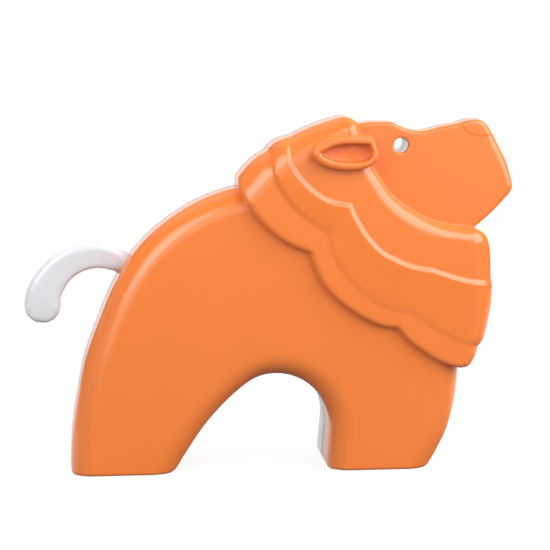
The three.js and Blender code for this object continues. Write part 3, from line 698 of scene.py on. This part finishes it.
def finished(name, built, material, body, slot, *nodes):
    """Makes a mesh into a piece that rides on a body and stands for CAD nodes."""
    mesh = bpy.data.meshes.new(name)
    built.to_mesh(mesh)
    mesh.shade_smooth()
    mesh.set_sharp_from_angle(angle=SHARP)
    mesh.materials.append(material)
    piece = bpy.data.objects.new(name, mesh)
    bpy.context.scene.collection.objects.link(piece)
    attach(piece, body)
    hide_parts(*nodes)


ORANGE = (0.85, 0.206, 0.032)
GLOSS = 0.24                        # roughness from a polished mould
# how strongly the painted shade along the parting line darkens the halves
SEAM_SHADE_SHOWS = 0.8
orange_plastic = moulded_plastic("orange_plastic", ORANGE, GLOSS, SEAM_SHADE_SHOWS)
finished("near_half", shell, orange_plastic, "shell", "orange_plastic", "near_shell")
shell.free()

# Far half shell
# The white half is a moulding with the same outside shape on the other side of the parting plane. Only its
# edge shows from the front, and the eyelet that lines the eye hole.
WHITE = (0.7, 0.71, 0.74)
EYELET_PLAY = 0.1
white_plastic = moulded_plastic("white_plastic", WHITE, GLOSS, SEAM_SHADE_SHOWS)
shell = with_eye(half, lambda z: FACE_HALF - EYE_SKIN - EYELET_PLAY - FACE_LEAN * z,
                 EYELET_RADIUS - EYELET_PLAY)
bmesh.ops.scale(shell, vec=(1, -1, 1), verts=shell.verts)
bmesh.ops.reverse_faces(shell, faces=shell.faces)
finished("far_half", shell, white_plastic, "shell", "white_plastic", "far_shell")
shell.free()
half.free()

# Tail
# One white moulding: a straight stem with a square key, trapped between the halves, and a hook with
# flattened sides that swells to a round tip.
STEM_RADIUS = 2.95
STEM_INSIDE = 11.0
KEY_HALF = 4.5
KEY_ENDS = (8.6, 6.0)               # from the root, into the shell
TIP_RADIUS = 4.75
TIP_LENGTH = 4.4
HOOK_STEP = 1.0
FLATTENING_LOOPS = 5                # from the round stem to the flattened hook
TIP_LOOPS = 13
TAIL_SIDES = 64
ROUND, FLATTENED, SQUARE = 2, 5.5, 20     # how full a section is
DOUBLES = 1e-6                      # m between corners that are merged
tail = bmesh.new()


def stem_point(deep):
    """Middle of the stem at a distance into the shell, with the stem's radius."""
    return (*(TAIL_ROOT + STEM_WAY * deep), STEM_RADIUS)


def section(centre, way, across, depth, full):
    """A closed loop of edges round the tail: an oval, or nearer to a rectangle the fuller it is."""
    facing = Vector((way[0], 0, way[1])).to_track_quat("Z", "Y").to_matrix()
    corners = []
    for turn in np.linspace(0, 2 * math.pi, TAIL_SIDES, endpoint=False):
        aside, up = math.cos(turn), math.sin(turn)
        reach = (abs(aside) ** full + abs(up) ** full) ** (-1 / full)
        away = facing @ Vector((aside * depth, up * across, 0)) * reach
        corners.append(tail.verts.new((Vector((centre[0] + DRAWING_X, 0, centre[1])) + away) * MM))
    return [tail.edges.new(pair) for pair in zip(corners, corners[1:] + corners[:1])]


loops = []
for deep, half_width, full in ((STEM_INSIDE, STEM_RADIUS, ROUND), (KEY_ENDS[0], STEM_RADIUS, ROUND),
                               (KEY_ENDS[0], KEY_HALF, SQUARE), (KEY_ENDS[1], KEY_HALF, SQUARE),
                               (KEY_ENDS[1], STEM_RADIUS, ROUND)):
    loops.append(section(stem_point(deep), -STEM_WAY, half_width, half_width, full))
hook = [stem_point(0), stem_point(-1.5), (-45.6, 55.5, 3.1), (-49.8, 55.5, 3.37), (-53.6, 54.3, 3.68),
        (-56.9, 52, 3.95), (-59.4, 48.9, 4.3), (-60.9, 45.9, 4.58), (-61.3, 42.8, TIP_RADIUS)]
route = np.array([*smooth_run(hook, HOOK_STEP), hook[-1]])
ways = np.gradient(route[:, :2], axis=0)
for i, (point, way) in enumerate(zip(route, ways)):
    full = ROUND + (FLATTENED - ROUND) * min(i / FLATTENING_LOOPS, 1)
    loops.append(section(point, way, point[2], point[2], full))
tip_way = ways[-1] / np.linalg.norm(ways[-1])
for turn in np.linspace(0, math.pi / 2, TIP_LOOPS + 1)[1:]:
    centre = route[-1, :2] + tip_way * TIP_LENGTH * math.sin(turn)
    depth = TIP_RADIUS * (1 - math.sin(turn) ** FLATTENED) ** (1 / FLATTENED)
    loops.append(section(centre, tip_way, TIP_RADIUS * math.cos(turn), depth, FLATTENED))
for before, after in zip(loops, loops[1:]):
    bmesh.ops.bridge_loops(tail, edges=before + after)
for end in (loops[0], loops[-1]):
    bmesh.ops.contextual_create(tail, geom=end)
bmesh.ops.remove_doubles(tail, verts=tail.verts, dist=DOUBLES)
bmesh.ops.recalc_face_normals(tail, faces=tail.faces)
tail_plastic = moulded_plastic("tail_plastic", WHITE, GLOSS)
finished("tail_hook", tail, tail_plastic, "shell", "white_plastic", "tail")
tail.free()

# Beads
# Eight loose beads of yellow plastic rattle in the closed chamber. Each comes from a two-part mould, which
# leaves a faint flash line round it.
BEAD_RADIUS = 3.0
FLASH_HEIGHT = 0.08
FLASH_WIDTH = 0.35
BEAD_POINTS, BEAD_SIDES = 25, 32    # from pole to pole, and round the bead
BEAD_YELLOW = (0.88, 0.54, 0.03)
BEAD_ROUGHNESS = 0.4
bead_plastic = moulded_plastic("bead_plastic", BEAD_YELLOW, BEAD_ROUGHNESS)
for name in [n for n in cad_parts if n.startswith("bead")]:
    low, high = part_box(name)
    bead = bmesh.new()
    arc = []
    for turn in np.linspace(-math.pi / 2, math.pi / 2, BEAD_POINTS):
        ridge = FLASH_HEIGHT * math.exp(-(BEAD_RADIUS * turn / FLASH_WIDTH) ** 2)
        radius = (BEAD_RADIUS - FLASH_HEIGHT + ridge) * MM
        arc.append(bead.verts.new((radius * math.cos(turn), 0, radius * math.sin(turn))))
    line = [bead.edges.new(pair) for pair in zip(arc, arc[1:])]
    bmesh.ops.spin(bead, geom=arc + line, cent=(0, 0, 0), axis=(0, 0, 1), angle=2 * math.pi,
                   steps=BEAD_SIDES, use_merge=True)
    bmesh.ops.remove_doubles(bead, verts=bead.verts, dist=DOUBLES)
    bmesh.ops.recalc_face_normals(bead, faces=bead.faces)
    bmesh.ops.translate(bead, vec=(low + high) / 2, verts=bead.verts)
    finished(name + "_moulded", bead, bead_plastic, name, "bead_plastic", name)
    bead.free()

# Studio
# A plain white table before a white backdrop that also lights the sides. Soft boxes stand at the left, at
# the right and behind. In the plastic's reflections the room gets lighter above the table's front edge.
scene = bpy.context.scene
scene.view_settings.view_transform = "Standard"
FLOOR_REACH = 0.3
floor_mesh = bpy.data.meshes.new("floor")
floor_built = bmesh.new()
bmesh.ops.create_grid(floor_built, x_segments=1, y_segments=1, size=FLOOR_REACH)
floor_built.to_mesh(floor_mesh)
floor_built.free()
floor = bpy.data.objects.new("floor", floor_mesh)
scene.collection.objects.link(floor)


def fade(tree, value, start, end, low=0, high=1):
    """A smooth change of a node's value, from low at start to high at end."""
    step = tree.nodes.new("ShaderNodeMapRange")
    step.interpolation_type = "SMOOTHSTEP"
    for socket, number in (("From Min", start), ("From Max", end), ("To Min", low), ("To Max", high)):
        step.inputs[socket].default_value = number
    tree.links.new(value, step.inputs["Value"])
    return step.outputs["Result"]


def joined(tree, operation, first, *others):
    """The sum or product of the values of several nodes."""
    for other in others:
        node = tree.nodes.new("ShaderNodeMath")
        node.operation = operation
        tree.links.new(first, node.inputs[0])
        tree.links.new(other, node.inputs[1])
        first = node.outputs["Value"]
    return first


SHADED, SEEN = 0.15, 0.8            # greys of the table, for light that bounces off it and for the eye
TABLE_GLOW, GLOW_SHARE = 1.04, 0.85   # the table's own white, and how much of what is seen it makes up
pale = bpy.data.materials.new("pale_floor")
pale.use_nodes = True
tree = pale.node_tree
matt = tree.nodes["Principled BSDF"]
matt.inputs["Roughness"].default_value = 0.9
matt.inputs["Specular IOR Level"].default_value = 0
white = tree.nodes.new("ShaderNodeEmission")
white.inputs["Strength"].default_value = TABLE_GLOW
rays = tree.nodes.new("ShaderNodeLightPath").outputs
slant = tree.nodes.new("ShaderNodeSeparateXYZ")
tree.links.new(tree.nodes.new("ShaderNodeNewGeometry").outputs["Incoming"], slant.inputs["Vector"])
distant = fade(tree, slant.outputs["Z"], 0.36, 0.24)
backward = fade(tree, slant.outputs["Y"], 0.2, -0.2)
bright = fade(tree, joined(tree, "MULTIPLY", distant, backward), 0, 1, 0.14, 1)
mirrored = joined(tree, "MULTIPLY", bright, rays["Is Glossy Ray"])
seen = joined(tree, "ADD", mirrored, rays["Is Camera Ray"], rays["Is Transmission Ray"])
tone = tree.nodes.new("ShaderNodeMix")
tone.data_type = "RGBA"
tone.inputs["A"].default_value = (SHADED, SHADED, SHADED, 1)
tone.inputs["B"].default_value = (SEEN, SEEN, SEEN, 1)
tree.links.new(seen, tone.inputs["Factor"])
tree.links.new(tone.outputs["Result"], matt.inputs["Base Color"])
blend = tree.nodes.new("ShaderNodeMixShader")
tree.links.new(fade(tree, seen, 0, 1, 0, GLOW_SHARE), blend.inputs["Fac"])
tree.links.new(matt.outputs["BSDF"], blend.inputs[1])
tree.links.new(white.outputs["Emission"], blend.inputs[2])
tree.links.new(blend.outputs["Shader"], tree.nodes["Material Output"].inputs["Surface"])
floor_mesh.materials.append(pale)

DIM, GLEAM, GLARE = 0.12, 1.7, 1.3  # of the room: everywhere, and in reflections before and behind the toy
world = bpy.data.worlds.new("surround")
world.use_nodes = True
tree = world.node_tree
room = tree.nodes["Background"]
room.inputs["Color"].default_value = (1, 1, 1, 1)
backdrop = tree.nodes.new("ShaderNodeBackground")
backdrop.inputs["Color"].default_value = (1, 1, 1, 1)
backdrop.inputs["Strength"].default_value = 1.0
rays = tree.nodes.new("ShaderNodeLightPath").outputs
way = tree.nodes.new("ShaderNodeSeparateXYZ")
tree.links.new(tree.nodes.new("ShaderNodeTexCoord").outputs["Generated"], way.inputs["Vector"])
ahead = fade(tree, way.outputs["Y"], -0.75, -0.9)
rising = fade(tree, way.outputs["Z"], -0.045, 0.17)
gleam = joined(tree, "MULTIPLY", ahead, rising, rays["Is Glossy Ray"])
tent = fade(tree, way.outputs["Y"], -0.6, 0.3)
matt_only = fade(tree, rays["Is Glossy Ray"], 1, 0)
glow = fade(tree, joined(tree, "MULTIPLY", tent, matt_only), 0, 1)
shine = fade(tree, gleam, 0, 1, DIM, GLEAM)
behind = fade(tree, way.outputs["Y"], 0.88, 0.96)
above = fade(tree, way.outputs["Z"], -0.24, -0.14)
glare = fade(tree, joined(tree, "MULTIPLY", behind, above, rays["Is Glossy Ray"]), 0, 1, 0, GLARE)
tree.links.new(joined(tree, "ADD", glow, shine, glare), room.inputs["Strength"])
seen = joined(tree, "ADD", rays["Is Camera Ray"], rays["Is Transmission Ray"])
blend = tree.nodes.new("ShaderNodeMixShader")
tree.links.new(seen, blend.inputs["Fac"])
tree.links.new(room.outputs["Background"], blend.inputs[1])
tree.links.new(backdrop.outputs["Background"], blend.inputs[2])
tree.links.new(blend.outputs["Shader"], tree.nodes["World Output"].inputs["Surface"])
scene.world = world

MIDDLE = Vector((0, 0, 0.046))      # of the toy, which the soft boxes face


def soft_box(name, distance, turn, height, size, radiance, mirrored=True):
    """A soft box turned to the right and up by degrees, as seen from the toy towards the camera."""
    lamp = bpy.data.lights.new(name, "AREA")
    lamp.shape = "RECTANGLE"
    lamp.size, lamp.size_y = size
    lamp.energy = radiance * math.pi * size[0] * size[1]
    box = bpy.data.objects.new(name, lamp)
    box.visible_glossy = mirrored
    turn, height = math.radians(turn), math.radians(height)
    level = math.cos(height)
    way = Vector((math.sin(turn) * level, -math.cos(turn) * level, math.sin(height)))
    box.location = MIDDLE + way * distance
    box.rotation_euler = way.to_track_quat("Z", "Y").to_euler()
    scene.collection.objects.link(box)


soft_box("left_box", 0.6, -32, 30, (0.3, 0.36), 3.8)
soft_box("low_box", 0.6, -66, 6, (0.5, 0.3), 2.2, mirrored=False)
soft_box("right_box", 0.55, 52, 34, (0.64, 0.54), 3.85)
soft_box("back_box", 0.6, 180, 60, (0.9, 0.5), 0.5)

# Camera
# The toy is seen from a little left of its side and a little above, from about half a metre away and
# through a long lens.
PHOTO_SIDE = 550                    # pixels
FOCAL_PIXELS = 2000
camera = bpy.data.objects.new("camera", bpy.data.cameras.new("camera"))
camera.location = Vector((-49.76, -521.9, 126.2)) * MM
target = Vector((DRAWING_X, 0, 49.706)) * MM
camera.rotation_euler = (target - camera.location).to_track_quat("-Z", "Y").to_euler()
camera.data.sensor_width = 36
camera.data.lens = camera.data.sensor_width * FOCAL_PIXELS / PHOTO_SIDE
scene.collection.objects.link(camera)
scene.camera = camera
